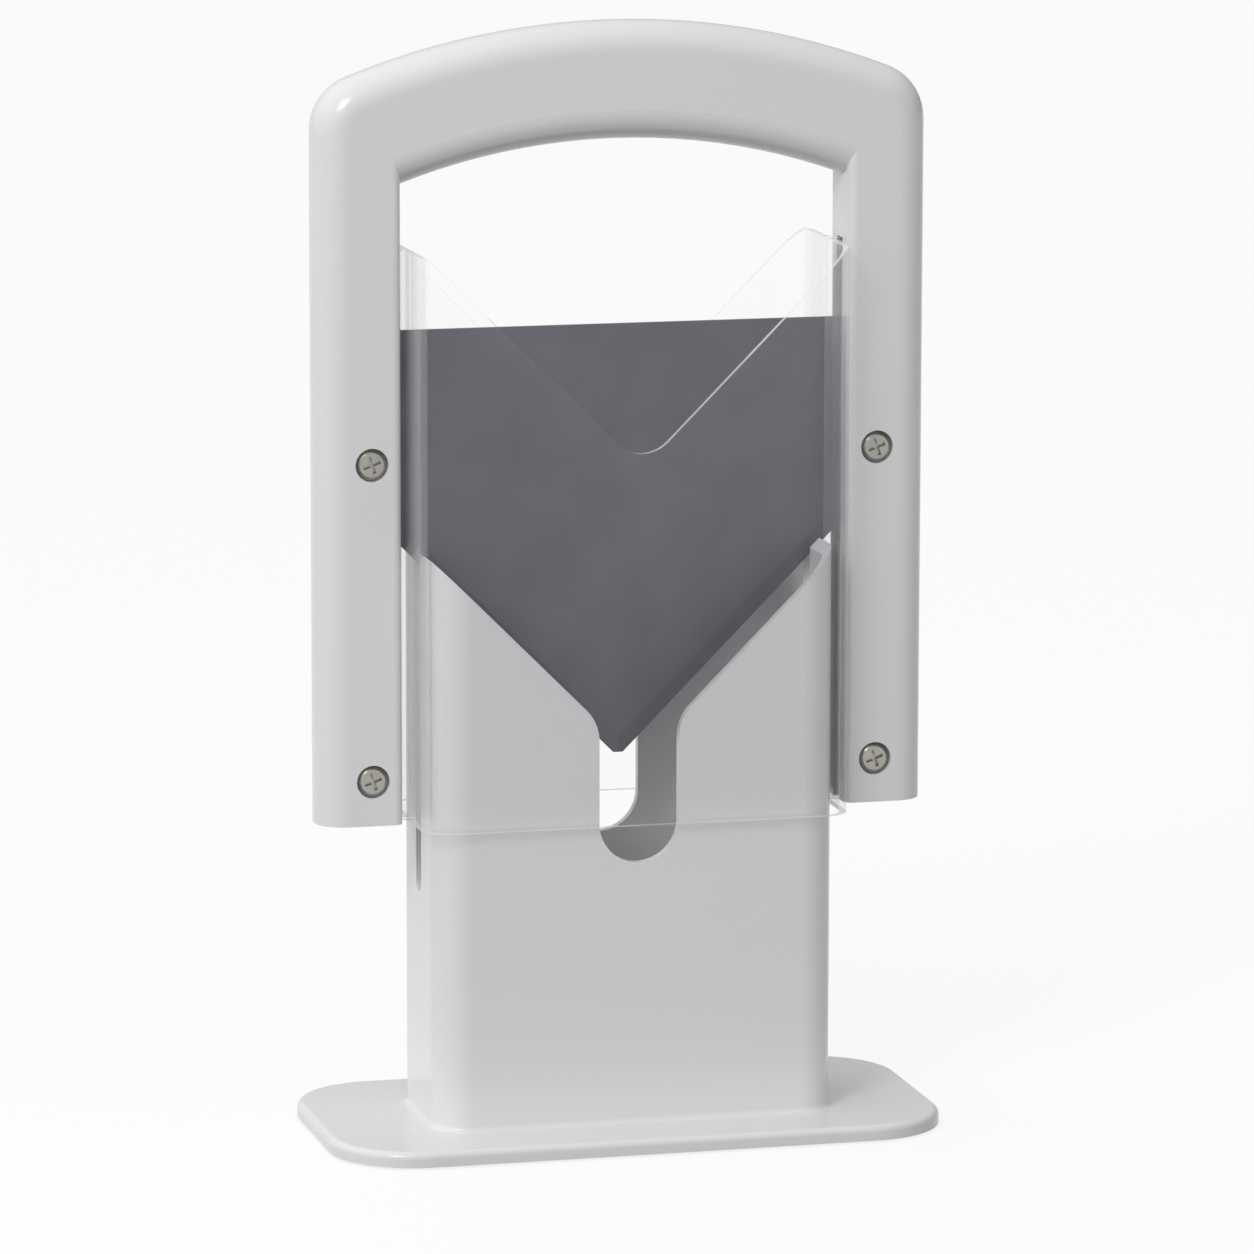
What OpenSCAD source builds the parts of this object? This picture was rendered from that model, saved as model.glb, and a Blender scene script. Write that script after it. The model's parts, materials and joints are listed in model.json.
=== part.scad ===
// Countertop slicer: a V-edged blade between two clear channel shields, pressed down over a
// slotted holder that stands on a rounded foot plate. Millimetres, +Z up, front towards -Y.

/* [Foot plate] */
// width of the foot plate, left to right
plate_w = 166; // [160:1:200]
// depth of the foot plate, front to back
plate_d = 84; // [78:1:110]
// thickness of the foot plate
plate_t = 4; // [3:0.1:8]
// radius of the plate's corners seen from above
plate_corner_r = 23; // [14:0.5:30]
// rounding of the plate's upper edge
plate_edge_r = 1.8; // [0.8:0.1:2.4]
// rounding where the holder rises from the plate
root_fillet_r = 1.5; // [0.8:0.1:1.6]

/* [Rubber feet] */
// radius of a rubber foot
foot_r = 6; // [4:0.5:9]
// how far a foot stands below the plate
foot_proud = 0.6; // [0.4:0.1:2]
// depth of the recess that seats a foot
foot_seat = 1.2; // [0.8:0.1:1.6]
// distance of the feet from the plate's left and right ends
foot_inset_x = 18; // [14:0.5:24]
// distance of the feet from the plate's front and back
foot_inset_y = 12; // [10:0.5:18]

/* [Holder] */
// outer width of the holder
holder_w = 108.6; // [104:0.2:110]
// outer depth of the holder
holder_d = 45.2; // [38:0.2:45.4]
// wall thickness of the holder
holder_wall = 2.5; // [1.8:0.1:3]
// outer corner radius of the holder
holder_corner_r = 9; // [7:0.5:12]
// height where the two sloping notch edges would meet
notch_z = 101.8; // [95:0.2:108]
// width of the throat below the notch
throat_w = 21.5; // [14:0.5:28]
// height of the throat's rounded bottom
throat_z = 74.8; // [66:0.2:82]
// rounding of the shoulders between notch and throat
shoulder_r = 12; // [4:0.5:16]
// width of the blade slots in the side walls
side_slot_w = 6; // [3:0.2:9]
// height of the bottom of the blade slots
side_slot_z = 65.2; // [56:0.2:68]
// height of the lowest point of the curved cradle
cradle_z = 49; // [40:0.5:54]
// thickness of the curved cradle
cradle_t = 2.4; // [1.6:0.1:3.5]
// how far below the middle of its curve the cradle ends
cradle_end = 10; // [6:0.5:14]
// gap along the cradle that the blade drops into
cradle_gap = 5; // [3:0.2:8]

/* [Handle] */
// overall width of the handle
handle_w = 165; // [162:0.5:180]
// thickness of the handle, front to back
handle_t = 18; // [16:0.2:22]
// clear width between the two legs
window_w = 120.6; // [118.6:0.2:121]
// height of the bottom of the legs above the table
leg_bottom = 85.1; // [80:0.1:92]
// height of the top of the arch
arch_top = 294.7; // [285:0.1:310]
// radius of the arch's upper curve
arch_outer_r = 203.5; // [180:0.5:240]
// radius of the upper corners
corner_r = 15; // [12:0.5:20]
// height of the underside of the grip at its middle
grip_z = 263.8; // [258:0.1:268]
// rounding of the outer edges and of the grip's underside
edge_r = 8; // [5:0.1:8]
// rounding of the legs' inner edges
inner_edge_r = 2.4; // [1:0.1:3]

/* [Blade] */
// thickness of the blade
blade_t = 1.2; // [0.8:0.1:1.6]
// distance of the blade's ends from the handle's outer sides
blade_inset = 4.5; // [4.5:0.5:8]
// distance of the blade's tabs from the legs' inner faces
tab_inset = 0.7; // [0.4:0.1:1.5]
// height of the tabs' lower ends above the legs' lower ends
tab_rise = 4; // [3:0.5:6]
// height of the blade's straight upper edge
blade_top = 214.8; // [205:0.2:225]
// height of the blade's blunt tip
blade_tip = 100.2; // [94:0.2:106]
// width of the flat at the tip
tip_w = 2.6; // [1:0.1:5]
// height of the ground bevel
bevel_h = 4; // [2:0.1:6]
// thickness left at the cutting edge
edge_t = 0.3; // [0.2:0.05:0.5]

/* [Shields] */
// outer width of the clear channel
shield_w = 115.8; // [115.6:0.1:117]
// outer depth of the two shields together
shield_d = 50.4; // [50.2:0.1:54]
// thickness of the clear sheet
shield_wall = 1.8; // [1.4:0.1:1.9]
// outer radius of the upright bends
shield_corner_r = 8; // [6:0.5:8.5]
// height of the shields' upper corners
shield_top = 236; // [228:0.5:242]
// height where the edges of the shield notch would meet
shield_notch_z = 179.6; // [176:0.2:186]
// rounding at the bottom of the shield notch
shield_notch_r = 10; // [5:0.5:16]
// distance of the clamped flanges' ends from the handle's outer sides
flange_inset = 5.5; // [5.5:0.5:8.5]

/* [Screws and nuts] */
// distance of the screws from the handle's outer sides
screw_inset = 14.1; // [13:0.1:15]
// height of the upper screws
upper_screw_z = 180.8; // [176:0.2:190]
// height of the lower screws
lower_screw_z = 96.9; // [95:0.1:105]
// radius of the screw shank
screw_r = 2; // [1.5:0.1:2.4]
// radius of the screw head
head_r = 4.1; // [3.6:0.1:4.4]
// height of the screw head
head_h = 2; // [1.6:0.1:2.4]
// width of a nut across its flats
nut_flats = 7; // [6:0.1:8]
// thickness of a nut
nut_h = 3.2; // [2.4:0.1:3.4]

/* [Clearances] */
// gap around a clamped or seated piece
seat_gap = 0.1; // [0.05:0.01:0.15]
// gap between the shank and the holes it passes
hole_gap = 0.2; // [0.1:0.05:0.3]
// gap between the screw thread and the nut's thread
thread_gap = 0.05; // [0.02:0.01:0.1]
// gap around a screw head in its recess
head_gap = 0.3; // [0.2:0.05:0.4]

/* [Hidden] */
$fn = 96;
plate_z = foot_proud;
plate_top = plate_z + plate_t;
half_t = handle_t / 2;
leg_in = window_w / 2;
handle_half = handle_w / 2;
corner_x = handle_half - corner_r;
outer_cz = arch_top - arch_outer_r;
corner_rise = sqrt(pow(arch_outer_r - corner_r, 2) - pow(corner_x, 2));
corner_z = outer_cz + corner_rise;
inner_half_w = holder_w / 2 - holder_wall;
cradle_cz = cradle_z + inner_half_w;
blade_y = blade_t / 2;
flange_y = blade_y + seat_gap;
pocket_y = flange_y + shield_wall + seat_gap;
blade_half = handle_half - blade_inset;
pocket_x = blade_half + seat_gap;
flange_half = handle_half - flange_inset;
screw_x = handle_half - screw_inset;
tab_in = leg_in + tab_inset;
tab_bottom = leg_bottom + tab_rise;
edge_z = blade_tip - tip_w / 2;
head_recess = head_h + head_gap;
nut_r = nut_flats / 2 / cos(30);
far = 400;

module rounded_rect(w, d, r) {
    union() {
        square([w - 2 * r, d], center = true);
        square([w, d - 2 * r], center = true);
        for (x = [-1, 1]) {
            for (y = [-1, 1]) {
                translate([x * (w / 2 - r), y * (d / 2 - r)]) circle(r);
            }
        }
    }
}

// drawing in X and Z, pushed through from y0 to y1
module slab(y0, y1) {
    translate([0, y1, 0]) rotate([90, 0, 0]) linear_extrude(height = y1 - y0) children();
}

// foot plate
module plate_profile() {
    inner = plate_corner_r - plate_edge_r;
    union() {
        square([inner, plate_t]);
        square([plate_corner_r, plate_t - plate_edge_r]);
        intersection() {
            translate([inner, plate_t - plate_edge_r]) circle(plate_edge_r);
            translate([inner, plate_t - plate_edge_r]) square([plate_edge_r, plate_edge_r]);
        }
    }
}

module plate_body() {
    cx = plate_w / 2 - plate_corner_r;
    cy = plate_d / 2 - plate_corner_r;
    translate([0, 0, plate_z]) {
        for (k = [0 : 3]) {
            sx = (k == 0 || k == 3) ? 1 : -1;
            sy = (k < 2) ? 1 : -1;
            translate([sx * cx, sy * cy, 0]) rotate([0, 0, 90 * k])
                rotate_extrude(angle = 90) plate_profile();
        }
        for (s = [-1, 1]) {
            rotate([0, 0, s > 0 ? 0 : 180]) translate([cx, cy, 0]) rotate([90, 0, 0])
                linear_extrude(height = 2 * cy) plate_profile();
            rotate([0, 0, s > 0 ? 0 : 180]) translate([-cx, cy, 0]) rotate([90, 0, 90])
                linear_extrude(height = 2 * cx) plate_profile();
        }
        translate([-cx, -cy, 0]) cube([2 * cx, 2 * cy, plate_t]);
    }
}

// holder
module notch_outline() {
    hw = throat_w / 2;
    cz = hw + shoulder_r + notch_z - shoulder_r * sqrt(2);
    cx = hw + shoulder_r;
    union() {
        polygon([[0, notch_z], [far / 4, notch_z + far / 4], [-far / 4, notch_z + far / 4]]);
        translate([-hw, throat_z + hw]) square([throat_w, notch_z - throat_z]);
        translate([0, throat_z + hw]) circle(hw);
        for (s = [-1, 1]) {
            difference() {
                polygon([[s * hw, cz], [s * hw, notch_z + hw],
                    [s * (cx - shoulder_r / sqrt(2)), cz + shoulder_r / sqrt(2)], [s * cx, cz]]);
                translate([s * cx, cz]) circle(shoulder_r);
            }
        }
    }
}

module root_section() {
    difference() {
        translate([-0.5, -0.5]) square([root_fillet_r + 0.5, root_fillet_r + 0.5]);
        translate([root_fillet_r, root_fillet_r]) circle(root_fillet_r);
    }
}

module root_fillet() {
    cx = holder_w / 2 - holder_corner_r;
    cy = holder_d / 2 - holder_corner_r;
    translate([0, 0, plate_top]) {
        for (k = [0 : 3]) {
            sx = (k == 0 || k == 3) ? 1 : -1;
            sy = (k < 2) ? 1 : -1;
            translate([sx * cx, sy * cy, 0]) rotate([0, 0, 90 * k])
                rotate_extrude(angle = 90) translate([holder_corner_r, 0]) root_section();
        }
        for (s = [0, 180]) {
            rotate([0, 0, s]) translate([holder_w / 2, cy, 0]) rotate([90, 0, 0])
                linear_extrude(height = 2 * cy) root_section();
            rotate([0, 0, s]) translate([-cx, holder_d / 2, 0]) rotate([90, 0, 90])
                linear_extrude(height = 2 * cx) root_section();
        }
    }
}

module cradle() {
    clip_z = cradle_cz - cradle_end;
    intersection() {
        slab(-holder_d, holder_d)
            difference() {
                intersection() {
                    translate([0, cradle_cz]) circle(inner_half_w + cradle_t);
                    translate([-holder_w, cradle_z - cradle_t - 1])
                        square([2 * holder_w, clip_z - cradle_z + cradle_t + 1]);
                }
                translate([0, cradle_cz]) circle(inner_half_w);
            }
        difference() {
            linear_extrude(height = clip_z + 1)
                rounded_rect(holder_w - holder_wall, holder_d - holder_wall,
                    holder_corner_r - holder_wall / 2);
            translate([-holder_w, -cradle_gap / 2, -1])
                cube([2 * holder_w, cradle_gap, clip_z + 3]);
        }
    }
}

module foot_places() {
    for (x = [-1, 1]) {
        for (y = [-1, 1]) {
            translate([x * (plate_w / 2 - foot_inset_x), y * (plate_d / 2 - foot_inset_y), 0])
                children();
        }
    }
}

module holder() {
    notch_top = notch_z + holder_w / 2;
    color([0.93, 0.93, 0.94]) difference() {
        union() {
            difference() {
                union() {
                    plate_body();
                    root_fillet();
                    translate([0, 0, plate_z + 1])
                        linear_extrude(height = notch_top - plate_z - 1)
                            rounded_rect(holder_w, holder_d, holder_corner_r);
                }
                translate([0, 0, plate_z - 1]) linear_extrude(height = far)
                    rounded_rect(holder_w - 2 * holder_wall, holder_d - 2 * holder_wall,
                        holder_corner_r - holder_wall);
            }
            cradle();
        }
        slab(-far / 4, far / 4) notch_outline();
        translate([-far / 2, -side_slot_w / 2, side_slot_z + side_slot_w / 2])
            cube([far, side_slot_w, far]);
        translate([-far / 2, 0, side_slot_z + side_slot_w / 2]) rotate([0, 90, 0])
            cylinder(r = side_slot_w / 2, h = far);
        foot_places() translate([0, 0, plate_z - 1])
            cylinder(r = foot_r + seat_gap, h = foot_seat + 1);
    }
}

module foot(x, y) {
    color([0.1, 0.1, 0.1])
        translate([x * (plate_w / 2 - foot_inset_x), y * (plate_d / 2 - foot_inset_y), 0])
            cylinder(r = foot_r, h = foot_proud + foot_seat);
}

module front_left_foot() {
    foot(-1, -1);
}

module front_right_foot() {
    foot(1, -1);
}

module rear_left_foot() {
    foot(-1, 1);
}

module rear_right_foot() {
    foot(1, 1);
}

// handle
// quarter of a disc, for a rounded edge
module quarter(r) {
    intersection() {
        circle(r);
        square([r, r]);
    }
}

// section of a bar from u = 0 to u = w, from the parting face to the rounded outer face
module bar_section(w, inner_r, outer_r) {
    union() {
        translate([inner_r, 0]) square([w - inner_r - outer_r, half_t]);
        if (inner_r > 0) {
            square([inner_r, half_t - inner_r]);
            translate([inner_r, half_t - inner_r]) mirror([1, 0]) quarter(inner_r);
        }
        translate([w - outer_r, 0]) square([outer_r, half_t - outer_r]);
        translate([w - outer_r, half_t - outer_r]) quarter(outer_r);
    }
}

// a section (radius, depth) turned about the Y axis, kept inside an outline in X and Z
module turned(x, z, outline) {
    intersection() {
        translate([x, 0, z]) rotate([90, 0, 0]) rotate_extrude() children();
        slab(-handle_t, handle_t) polygon(outline);
    }
}

// the front half, without recesses: the parting face is at Y = 0
module half_shell() {
    grip_h = arch_top - grip_z;
    seam_x = 2 * corner_x;
    union() {
        turned(0, outer_cz, [[0, outer_cz], [seam_x, outer_cz + 2 * corner_rise],
            [-seam_x, outer_cz + 2 * corner_rise]])
            translate([arch_outer_r - grip_h, 0]) bar_section(grip_h, edge_r, edge_r);
        for (m = [0, 1]) {
            mirror([m, 0, 0]) {
                turned(corner_x, corner_z, [[corner_x, corner_z], [seam_x, corner_z],
                    [seam_x, corner_z + corner_rise]]) bar_section(corner_r, 0, edge_r);
                translate([leg_in, 0, leg_bottom]) mirror([0, 1, 0])
                    linear_extrude(height = corner_z - leg_bottom)
                        bar_section(handle_half - leg_in, inner_edge_r, edge_r);
            }
        }
    }
}

module screw_places() {
    for (x = [-1, 1]) {
        for (z = [lower_screw_z, upper_screw_z]) {
            translate([x * screw_x, 0, z]) children();
        }
    }
}

module clamp_pocket() {
    for (x = [-1, 1]) {
        translate([x * (pocket_x + leg_in - 1) / 2, 0, (shield_top + seat_gap + leg_bottom - 1) / 2])
            cube([pocket_x - leg_in + 1, 2 * pocket_y, shield_top + seat_gap - leg_bottom + 1],
                center = true);
    }
}

module handle_front() {
    color([0.93, 0.93, 0.94]) difference() {
        half_shell();
        clamp_pocket();
        screw_places() rotate([90, 0, 0])
            translate([0, 0, -1]) cylinder(r = screw_r + hole_gap, h = half_t + 2);
        screw_places() rotate([90, 0, 0])
            translate([0, 0, half_t - head_recess]) cylinder(r = head_r + head_gap, h = far / 8);
    }
}

module handle_rear() {
    color([0.93, 0.93, 0.94]) difference() {
        rotate([0, 0, 180]) half_shell();
        clamp_pocket();
        screw_places() rotate([-90, 0, 0])
            translate([0, 0, -1]) cylinder(r = screw_r + hole_gap, h = half_t + 2);
        screw_places() rotate([-90, 0, 0])
            translate([0, 0, half_t - nut_h - head_gap])
                cylinder(r = nut_r + seat_gap, h = far / 8, $fn = 6);
    }
}

// blade
module blade_bevel() {
    rotate([90, 0, 90]) translate([0, 0, -bevel_h * 2]) linear_extrude(height = far / 4)
        polygon([[-blade_t, -1], [-edge_t / 2, -1], [-edge_t / 2, 0], [-blade_y, bevel_h],
            [-blade_t, bevel_h]]);
}

module blade() {
    color([0.3, 0.31, 0.34]) difference() {
        slab(-blade_y, blade_y)
            polygon([[tip_w / 2, blade_tip], [tab_in, edge_z + tab_in], [tab_in, tab_bottom],
                [blade_half, tab_bottom], [blade_half, blade_top], [-blade_half, blade_top],
                [-blade_half, tab_bottom],
                [-tab_in, tab_bottom], [-tab_in, edge_z + tab_in], [-tip_w / 2, blade_tip]]);
        for (x = [0, 1]) {
            for (y = [0, 1]) {
                intersection() {
                    mirror([x, 0, 0]) mirror([0, y, 0]) translate([0, 0, edge_z])
                        rotate([0, -45, 0]) blade_bevel();
                    translate([x > 0 ? -tab_in : 0, -blade_t, edge_z - 2])
                        cube([tab_in, 2 * blade_t, far / 4]);
                }
            }
        }
        screw_places() rotate([90, 0, 0])
            translate([0, 0, -far / 8]) cylinder(r = screw_r + hole_gap, h = far / 4);
    }
}

// shields
module shield_plan() {
    inner_r = shield_corner_r - shield_wall;
    side_in = shield_w / 2 - shield_wall;
    union() {
        intersection() {
            difference() {
                rounded_rect(shield_w, shield_d, shield_corner_r);
                rounded_rect(2 * side_in, shield_d - 2 * shield_wall, inner_r);
            }
            translate([-shield_w, -shield_d]) square([2 * shield_w, shield_d - flange_y]);
        }
        for (s = [-1, 1]) {
            translate([s * (flange_half + side_in) / 2, -flange_y - shield_wall / 2])
                square([flange_half - side_in, shield_wall], center = true);
        }
    }
}

module shield_notch_outline() {
    d = shield_notch_r;
    cz = shield_notch_z + d * sqrt(2);
    difference() {
        polygon([[0, shield_notch_z], [far / 4, shield_notch_z + far / 4],
            [-far / 4, shield_notch_z + far / 4]]);
        difference() {
            polygon([[0, shield_notch_z - 1], [d / sqrt(2) + 1, shield_notch_z + d / sqrt(2)],
                [0, cz], [-d / sqrt(2) - 1, shield_notch_z + d / sqrt(2)]]);
            translate([0, cz]) circle(d);
            translate([-d * 2, shield_notch_z + d / sqrt(2)]) square([d * 4, d * 2]);
        }
    }
}

module shield_shell() {
    difference() {
        translate([0, 0, leg_bottom]) linear_extrude(height = shield_top - leg_bottom)
            shield_plan();
        slab(-far / 8, 0) shield_notch_outline();
        screw_places() rotate([90, 0, 0])
            translate([0, 0, -1]) cylinder(r = screw_r + hole_gap, h = far / 8);
    }
}

module front_shield() {
    color([0.9, 0.93, 0.95, 0.35]) shield_shell();
}

module rear_shield() {
    color([0.9, 0.93, 0.95, 0.35]) mirror([0, 1, 0]) shield_shell();
}

// screws and nuts
module screw(x, z) {
    seat_y = half_t - head_recess;
    color([0.6, 0.6, 0.58]) translate([x * screw_x, 0, z]) rotate([90, 0, 0]) difference() {
        union() {
            translate([0, 0, -half_t + head_gap]) cylinder(r = screw_r, h = seat_y + half_t);
            translate([0, 0, seat_y]) cylinder(r = head_r, h = head_h * 0.6);
            translate([0, 0, seat_y + head_h * 0.6])
                cylinder(r1 = head_r, r2 = head_r * 0.78, h = head_h * 0.4);
        }
        for (a = [0, 90]) {
            rotate([0, 0, a + 20]) translate([0, 0, seat_y + head_h])
                cube([head_r * 1.15, 0.9, head_h * 1.2], center = true);
        }
    }
}

module upper_left_screw() {
    screw(-1, upper_screw_z);
}

module upper_right_screw() {
    screw(1, upper_screw_z);
}

module lower_left_screw() {
    screw(-1, lower_screw_z);
}

module lower_right_screw() {
    screw(1, lower_screw_z);
}

module nut(x, z) {
    color([0.75, 0.62, 0.3]) translate([x * screw_x, half_t - head_gap / 2 - nut_h, z])
        rotate([-90, 0, 0]) difference() {
            cylinder(r = nut_r, h = nut_h, $fn = 6);
            translate([0, 0, -1]) cylinder(r = screw_r + thread_gap, h = nut_h + 2);
        }
}

module upper_left_nut() {
    nut(-1, upper_screw_z);
}

module upper_right_nut() {
    nut(1, upper_screw_z);
}

module lower_left_nut() {
    nut(-1, lower_screw_z);
}

module lower_right_nut() {
    nut(1, lower_screw_z);
}

holder();
front_left_foot();
front_right_foot();
rear_left_foot();
rear_right_foot();
handle_front();
handle_rear();
blade();
front_shield();
rear_shield();
upper_left_screw();
upper_right_screw();
lower_left_screw();
lower_right_screw();
upper_left_nut();
upper_right_nut();
lower_left_nut();
lower_right_nut();
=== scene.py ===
"""Looks, light and camera for the bagel guillotine slicer. Metres, front towards -Y."""

import json
import math

import bpy
from mathutils import Matrix, Vector

with open("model.json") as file:
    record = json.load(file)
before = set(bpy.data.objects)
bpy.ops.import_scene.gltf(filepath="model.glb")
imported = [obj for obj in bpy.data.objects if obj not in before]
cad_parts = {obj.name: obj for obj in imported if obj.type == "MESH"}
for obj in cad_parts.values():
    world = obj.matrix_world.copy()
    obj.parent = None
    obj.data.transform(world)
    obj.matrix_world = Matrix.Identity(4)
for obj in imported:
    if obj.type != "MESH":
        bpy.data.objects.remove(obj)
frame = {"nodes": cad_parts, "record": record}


def note_size():
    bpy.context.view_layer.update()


note_size()


class Shader:
    """A small helper that builds one material's nodes."""

    def __init__(self, name):
        self.mat = bpy.data.materials.new(name)
        self.mat.use_nodes = True
        self.tree = self.mat.node_tree
        self.bsdf = self.tree.nodes["Principled BSDF"]
        self.out = self.tree.nodes["Material Output"]
        self.coord = self.tree.nodes.new("ShaderNodeTexCoord").outputs["Object"]

    def add(self, kind, **settings):
        n = self.tree.nodes.new(kind)
        for key, value in settings.items():
            setattr(n, key, value)
        return n

    def link(self, a, b):
        self.tree.links.new(a, b)

    def noise(self, scale, detail=3.0, stretch=(1, 1, 1)):
        m = self.add("ShaderNodeMapping")
        m.inputs["Scale"].default_value = stretch
        self.link(self.coord, m.inputs["Vector"])
        n = self.add("ShaderNodeTexNoise")
        n.inputs["Scale"].default_value = scale
        n.inputs["Detail"].default_value = detail
        self.link(m.outputs["Vector"], n.inputs["Vector"])
        return n.outputs["Fac"]

    def ramp(self, fac, low, high, a=0.3, b=0.7):
        r = self.add("ShaderNodeMapRange")
        r.inputs["From Min"].default_value = a
        r.inputs["From Max"].default_value = b
        r.inputs["To Min"].default_value = low
        r.inputs["To Max"].default_value = high
        self.link(fac, r.inputs["Value"])
        return r.outputs["Result"]

    def mix_colour(self, fac, a, b):
        m = self.add("ShaderNodeMix", data_type="RGBA")
        self.link(fac, m.inputs["Factor"])
        m.inputs[6].default_value = (*a, 1)
        m.inputs[7].default_value = (*b, 1)
        return m.outputs[2]

    def bump(self, height, strength, distance):
        b = self.add("ShaderNodeBump")
        b.inputs["Strength"].default_value = strength
        b.inputs["Distance"].default_value = distance
        self.link(height, b.inputs["Height"])
        self.link(b.outputs["Normal"], self.bsdf.inputs["Normal"])


def white_plastic():
    s = Shader("white_plastic_look")
    s.link(s.mix_colour(s.noise(9, 4), (0.79, 0.79, 0.8), (0.815, 0.813, 0.82)),
           s.bsdf.inputs["Base Color"])
    s.link(s.ramp(s.noise(35, 5), 0.15, 0.23), s.bsdf.inputs["Roughness"])
    s.bsdf.inputs["IOR"].default_value = 1.5
    s.bump(s.noise(160, 2), 0.02, 0.0004)
    return s.mat


def clear_plastic():
    """Clear sheet: nearly unseen from the front, with a painted reflection where it turns away and
    a painted highlight on its cut rims, both made as near-white opacity.
    """
    s = Shader("clear_plastic_look")
    normal = s.add("ShaderNodeSeparateXYZ")
    s.link(s.add("ShaderNodeNewGeometry").outputs["True Normal"], normal.inputs["Vector"])
    tilt = s.add("ShaderNodeMath", operation="ABSOLUTE")
    s.link(normal.outputs["Z"], tilt.inputs[0])
    facing = s.add("ShaderNodeLayerWeight").outputs["Facing"]
    # painted reflection and highlight: opacity rises on the flat rims (normal near ±Z) and where
    # the sheet turns away, showing the near-white base colour
    painted_shine_opacity = s.add("ShaderNodeMath", operation="MAXIMUM")
    s.link(s.ramp(tilt.outputs["Value"], 0.0, 0.6), painted_shine_opacity.inputs[0])
    s.link(s.ramp(facing, 0.012, 0.3, 0.45, 0.8), painted_shine_opacity.inputs[1])
    s.link(painted_shine_opacity.outputs["Value"], s.bsdf.inputs["Alpha"])
    s.link(s.mix_colour(s.noise(5, 2), (0.9, 0.92, 0.94), (0.95, 0.96, 0.97)),
           s.bsdf.inputs["Base Color"])
    s.link(s.ramp(s.noise(14, 3), 0.04, 0.1), s.bsdf.inputs["Roughness"])
    s.bump(s.noise(18, 2), 0.03, 0.0006)
    path = s.add("ShaderNodeLightPath")
    through = s.add("ShaderNodeBsdfTransparent")
    through.inputs["Color"].default_value = (0.84, 0.85, 0.86, 1)
    mix = s.add("ShaderNodeMixShader")
    s.link(path.outputs["Is Shadow Ray"], mix.inputs[0])
    s.link(s.bsdf.outputs["BSDF"], mix.inputs[1])
    s.link(through.outputs["BSDF"], mix.inputs[2])
    s.link(mix.outputs["Shader"], s.out.inputs["Surface"])
    return s.mat


def coated_steel():
    s = Shader("coated_steel_look")
    s.link(s.mix_colour(s.ramp(s.noise(55, 6), 0, 1), (0.15, 0.152, 0.172), (0.175, 0.178, 0.2)),
           s.bsdf.inputs["Base Color"])
    s.link(s.ramp(s.noise(80, 4), 0.38, 0.55), s.bsdf.inputs["Roughness"])
    s.bsdf.inputs["Metallic"].default_value = 0.15
    s.bump(s.noise(900, 2), 0.12, 0.0002)
    return s.mat


def metal(name, dark, light, rough):
    s = Shader(name)
    s.link(s.mix_colour(s.noise(300, 4), dark, light), s.bsdf.inputs["Base Color"])
    s.link(s.ramp(s.noise(700, 3), rough, rough + 0.16), s.bsdf.inputs["Roughness"])
    s.bsdf.inputs["Metallic"].default_value = 1.0
    s.bump(s.noise(1200, 2), 0.1, 0.0001)
    return s.mat


def rubber():
    s = Shader("rubber_look")
    s.link(s.mix_colour(s.noise(200, 4), (0.03, 0.03, 0.03), (0.06, 0.058, 0.055)),
           s.bsdf.inputs["Base Color"])
    s.link(s.ramp(s.noise(300, 3), 0.6, 0.85), s.bsdf.inputs["Roughness"])
    s.bump(s.noise(900, 3), 0.3, 0.0002)
    return s.mat


looks = {
    "white_plastic": white_plastic(),
    "clear_plastic": clear_plastic(),
    "coated_steel": coated_steel(),
    "screw_steel": metal("screw_steel_look", (0.34, 0.33, 0.3), (0.46, 0.45, 0.41), 0.24),
    "nut_brass": metal("nut_brass_look", (0.55, 0.42, 0.18), (0.68, 0.54, 0.26), 0.25),
    "rubber": rubber(),
}
slots = {p["node"]: p["material_slot"] for p in frame["record"]["subparts"]}
for name, obj in frame["nodes"].items():
    obj.data.materials.clear()
    obj.data.materials.append(looks[slots[name]])


def seen_ray(tree, kinds=("Is Glossy Ray", "Is Transmission Ray")):
    """1 for what the camera sees directly, in a reflection or through the clear shields."""
    path = tree.nodes.new("ShaderNodeLightPath")
    value = path.outputs["Is Camera Ray"]
    for kind in kinds:
        either = tree.nodes.new("ShaderNodeMath")
        either.operation = "MAXIMUM"
        tree.links.new(value, either.inputs[0])
        tree.links.new(path.outputs[kind], either.inputs[1])
        value = either.outputs["Value"]
    straight = tree.nodes.new("ShaderNodeMath")
    straight.operation = "LESS_THAN"
    straight.inputs[1].default_value = 0.5
    tree.links.new(path.outputs["Diffuse Depth"], straight.inputs[0])
    both = tree.nodes.new("ShaderNodeMath")
    both.operation = "MULTIPLY"
    tree.links.new(value, both.inputs[0])
    tree.links.new(straight.outputs["Value"], both.inputs[1])
    return both.outputs["Value"]


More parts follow.
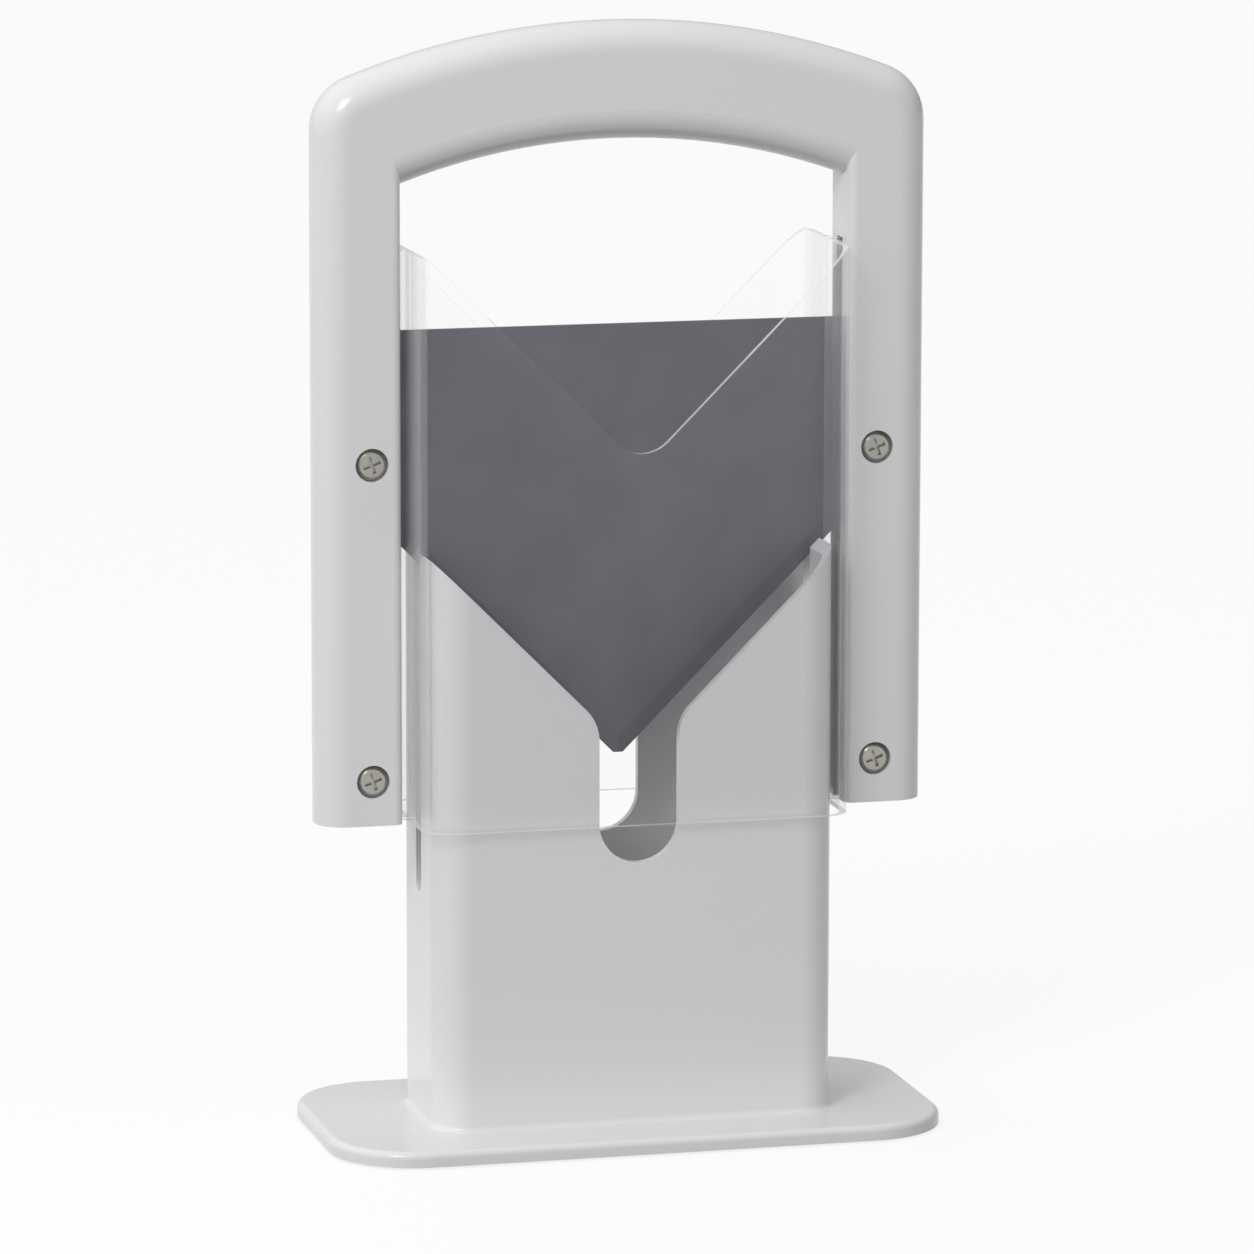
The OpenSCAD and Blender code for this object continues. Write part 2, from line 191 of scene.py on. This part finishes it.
def floor():
    """A pale floor that looks white and keeps a faint share of the object's shadow."""
    bpy.ops.mesh.primitive_plane_add(size=30, location=(0, 8, 0))
    plane = bpy.context.object
    plane.name = "floor"
    s = Shader("floor_look")
    seen = seen_ray(s.tree)
    tone = s.add("ShaderNodeMix", data_type="RGBA")
    s.link(seen, tone.inputs["Factor"])
    s.link(s.mix_colour(s.noise(0.7, 2), (0.3, 0.3, 0.3), (0.32, 0.32, 0.32)), tone.inputs[6])
    tone.inputs[7].default_value = (0.97, 0.97, 0.97, 1)
    s.link(tone.outputs[2], s.bsdf.inputs["Base Color"])
    s.bsdf.inputs["Roughness"].default_value = 0.9
    s.bsdf.inputs["Specular IOR Level"].default_value = 0.1
    white = s.add("ShaderNodeEmission")
    white.inputs["Strength"].default_value = 1.0
    share = s.add("ShaderNodeMath", operation="MULTIPLY")
    share.inputs[1].default_value = 0.83
    s.link(seen, share.inputs[0])
    mix = s.add("ShaderNodeMixShader")
    s.link(share.outputs["Value"], mix.inputs[0])
    s.link(s.bsdf.outputs["BSDF"], mix.inputs[1])
    s.link(white.outputs["Emission"], mix.inputs[2])
    s.link(mix.outputs["Shader"], s.out.inputs["Surface"])
    plane.data.materials.append(s.mat)


def world_light():
    """Soft studio light: brighter from the left and from above, white behind."""
    world = bpy.data.worlds.new("studio")
    bpy.context.scene.world = world
    world.use_nodes = True
    t = world.node_tree
    back = t.nodes["Background"]
    back.inputs["Color"].default_value = (1, 1, 1, 1)
    coord = t.nodes.new("ShaderNodeTexCoord")
    slope = t.nodes.new("ShaderNodeVectorMath")
    slope.operation = "DOT_PRODUCT"
    slope.inputs[1].default_value = (-0.42, 0, 0.3)
    t.links.new(coord.outputs["Generated"], slope.inputs[0])
    level = t.nodes.new("ShaderNodeMath")
    level.operation = "ADD"
    level.inputs[1].default_value = 0.55
    t.links.new(slope.outputs["Value"], level.inputs[0])
    mix = t.nodes.new("ShaderNodeMix")
    t.links.new(seen_ray(t, ("Is Transmission Ray",)), mix.inputs["Factor"])
    t.links.new(level.outputs["Value"], mix.inputs[2])
    mix.inputs[3].default_value = 1.0
    t.links.new(mix.outputs[0], back.inputs["Strength"])


def lamp(name, place, aim, size, power):
    data = bpy.data.lights.new(name, "AREA")
    data.shape = "RECTANGLE"
    data.size, data.size_y = size
    data.energy = power
    obj = bpy.data.objects.new(name, data)
    bpy.context.collection.objects.link(obj)
    obj.location = place
    obj.rotation_euler = (Vector(aim) - Vector(place)).to_track_quat("-Z", "Y").to_euler()


def camera():
    """The photograph's viewpoint, from the fit to its measured edges."""
    turn, rise, roll = math.radians(-14.51), math.radians(9.94), math.radians(0.1)
    back = Vector((math.sin(turn) * math.cos(rise), -math.cos(turn) * math.cos(rise),
                   math.sin(rise)))
    right = Vector((math.cos(turn), math.sin(turn), 0))
    up = back.cross(right)
    tilted_right = math.cos(roll) * right + math.sin(roll) * up
    tilted_up = math.cos(roll) * up - math.sin(roll) * right
    data = bpy.data.cameras.new("photo_view")
    data.sensor_width = 36
    data.lens = 212.05
    data.clip_end = 60
    obj = bpy.data.objects.new("photo_view", data)
    bpy.context.collection.objects.link(obj)
    turned = Matrix((tilted_right, tilted_up, back)).transposed().to_4x4()
    obj.matrix_world = Matrix.Translation((-0.47994, -1.86393, 0.47109)) @ turned
    bpy.context.scene.camera = obj


floor()
world_light()
lamp("key", (-0.9, -1.1, 1.3), (0, 0, 0.2), (0.5, 0.5), 9.5)
camera()

scene = bpy.context.scene
scene.view_settings.view_transform = "Standard"

note_size()
